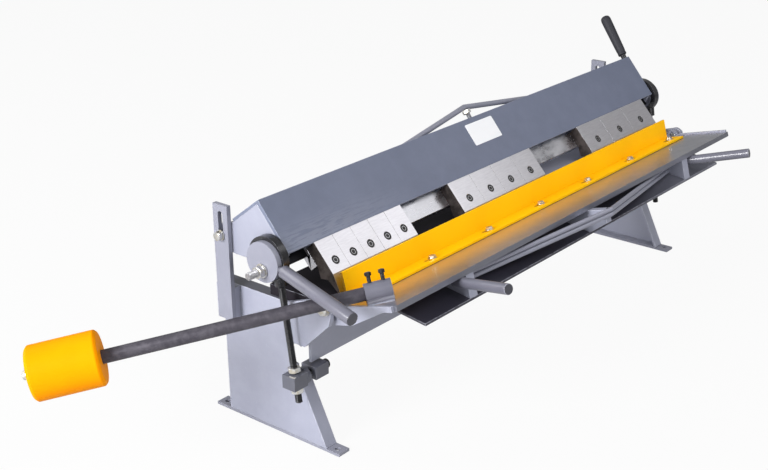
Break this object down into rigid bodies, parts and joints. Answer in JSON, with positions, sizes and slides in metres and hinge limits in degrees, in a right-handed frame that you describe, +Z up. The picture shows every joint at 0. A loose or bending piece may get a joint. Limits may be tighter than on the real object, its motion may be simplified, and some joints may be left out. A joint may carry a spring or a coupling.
{
  "type": "box and pan brake",
  "caption": "Bench sheet metal folder with removable clamping fingers, eccentric clamps at both ends, a hinged bending apron with pull handles and a counterweight on a bar",
  "frame": {"origin": "centre of the four bench bolt holes, on the underside of the feet", "axes": "+X along the bending edge to the operator's right, +Y away from the operator, +Z up"},
  "size_m": [1.8643, 0.6332, 0.5693],
  "materials": {
    "frame_paint": "light blue-grey enamel",
    "beam_paint": "mid blue-grey enamel",
    "ground_steel": "ground tool steel",
    "zinc_plate": "bright zinc plate",
    "plain_steel": "plain threaded steel",
    "black_steel": "black oxide",
    "dark_bar": "dark mill finish",
    "yellow_paint": "yellow enamel",
    "grip_plastic": "moulded grip"
  },
  "bodies": {
    "frame": {"stand_left": "frame_paint", "stand_right": "frame_paint", "feet": "frame_paint", "hinge_plates": "frame_paint", "hinge_bolts": "zinc_plate", "bed_plate": "frame_paint", "bed_web": "frame_paint", "guide_spacers": "frame_paint", "guide_bar_left": "frame_paint", "guide_bar_right": "frame_paint", "link_brackets": "frame_paint", "pivot_screws": "black_steel"},
    "beam": {"beam_front_plate": "beam_paint", "beam_rear_plate": "beam_paint", "beam_end_left": "frame_paint", "beam_end_right": "frame_paint", "clamp_rail": "ground_steel", "fingers_narrow": "ground_steel", "fingers_medium": "ground_steel", "fingers_wide": "ground_steel", "finger_screws": "black_steel", "beam_truss_rod": "frame_paint", "truss_post": "frame_paint", "truss_nut": "zinc_plate", "guide_bolts": "zinc_plate", "guide_washers": "zinc_plate", "guide_nuts": "zinc_plate", "cam_studs": "plain_steel", "cam_washers": "zinc_plate", "cam_nuts": "zinc_plate"},
    "cam_left": {"cam_disc_left": "frame_paint", "cam_handle_left": "frame_paint"},
    "cam_right": {"cam_disc_right": "frame_paint", "cam_handle_right": "black_steel", "handle_grip": "grip_plastic"},
    "link_left": {"pivot_block_left": "frame_paint", "link_rod_left": "black_steel", "link_nuts_left": "zinc_plate", "strap_ring_left": "black_steel"},
    "link_right": {"pivot_block_right": "frame_paint", "link_rod_right": "black_steel", "link_nuts_right": "zinc_plate", "strap_ring_right": "black_steel"},
    "apron": {"apron_plate": "frame_paint", "apron_lower_plate": "frame_paint", "apron_gussets": "frame_paint", "apron_ends": "frame_paint", "apron_strut": "frame_paint", "strut_screws": "black_steel", "apron_truss_rods": "frame_paint", "pull_handle_left": "frame_paint", "pull_handle_right": "frame_paint", "bending_angle": "yellow_paint", "angle_bolts": "zinc_plate", "angle_washers": "zinc_plate", "lever_sleeve": "frame_paint", "sleeve_bolts": "black_steel", "lever_bar": "dark_bar", "counterweight": "yellow_paint", "weight_screw": "zinc_plate"}
  },
  "joints": [
    {"name": "beam_lift", "type": "slide", "parent": "frame", "child": "beam", "axis": [0, 0, 1], "range_m": [0, 0.013]},
    {"name": "cam_turn_left", "type": "hinge", "parent": "beam", "child": "cam_left", "pos_m": [-0.69, -0.032, 0.367], "axis": [-1, 0, 0], "range_deg": [0, 90.01]},
    {"name": "cam_turn_right", "type": "hinge", "parent": "beam", "child": "cam_right", "pos_m": [0.69, -0.032, 0.367], "axis": [-1, 0, 0], "range_deg": [0, 90.01]},
    {"name": "link_swing_left", "type": "hinge", "parent": "frame", "child": "link_left", "pos_m": [-0.665, -0.087, 0.152], "axis": [-1, 0, 0], "range_deg": [0, 4.31]},
    {"name": "link_swing_right", "type": "hinge", "parent": "frame", "child": "link_right", "pos_m": [0.665, -0.087, 0.152], "axis": [-1, 0, 0], "range_deg": [0, 4.31]},
    {"name": "apron_swing", "type": "hinge", "parent": "frame", "child": "apron", "pos_m": [0, -0.149, 0.31], "axis": [-1, 0, 0], "range_deg": [-105, 15]}
  ],
  "couplings": [
    {"joint": "cam_turn_left", "follows": "beam_lift", "rad_per_m": 120.83},
    {"joint": "cam_turn_right", "follows": "beam_lift", "rad_per_m": 120.83},
    {"joint": "link_swing_left", "follows": "beam_lift", "rad_per_m": 5.773},
    {"joint": "link_swing_right", "follows": "beam_lift", "rad_per_m": 5.773}
  ]
}
